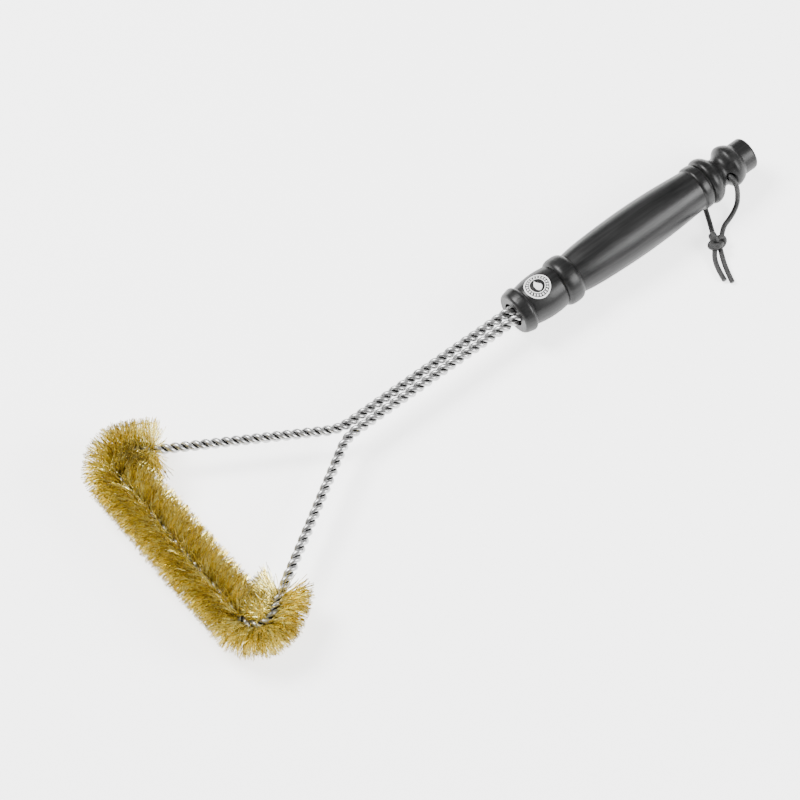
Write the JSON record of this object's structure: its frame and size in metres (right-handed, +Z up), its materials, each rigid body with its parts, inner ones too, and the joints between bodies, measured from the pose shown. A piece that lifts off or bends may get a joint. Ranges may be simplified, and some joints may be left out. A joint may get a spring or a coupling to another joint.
{
  "type": "grill cleaning brush",
  "caption": "Long handled grill brush: twisted wire bent into a triangle, brass bristles along its base and corners, turned wooden handle with a hanging cord.",
  "frame": {"origin": "middle of the brush's outline at the height of the surface that it lies on, measured without the hanging cord", "axes": "+X from the bristled head to the handle's free end, +Y towards the bristled corner that is far from a right-handed viewer, +Z up, square to the wire triangle"},
  "size_m": [0.4605, 0.1828, 0.039],
  "materials": {
    "stained_wood": "black stained and satin lacquered",
    "badge_print": "white printed film",
    "resin": "dark cured adhesive",
    "galvanised_wire": "bright galvanised",
    "brass_bristle": "bright drawn brass wire",
    "cord": "black waxed braid"
  },
  "bodies": {
    "root": {"handle": "stained_wood", "badge": "badge_print", "socket_resin": "resin", "wire_strand_a": "galvanised_wire", "wire_strand_b": "galvanised_wire", "bristles_base": "brass_bristle", "bristles_corner_far": "brass_bristle", "bristles_corner_near": "brass_bristle", "bristles_leg_far": "brass_bristle", "bristles_leg_near": "brass_bristle", "cord_loop": "cord", "cord_knot": "cord", "cord_tail_long": "cord", "cord_tail_short": "cord"}
  },
  "joints": []
}
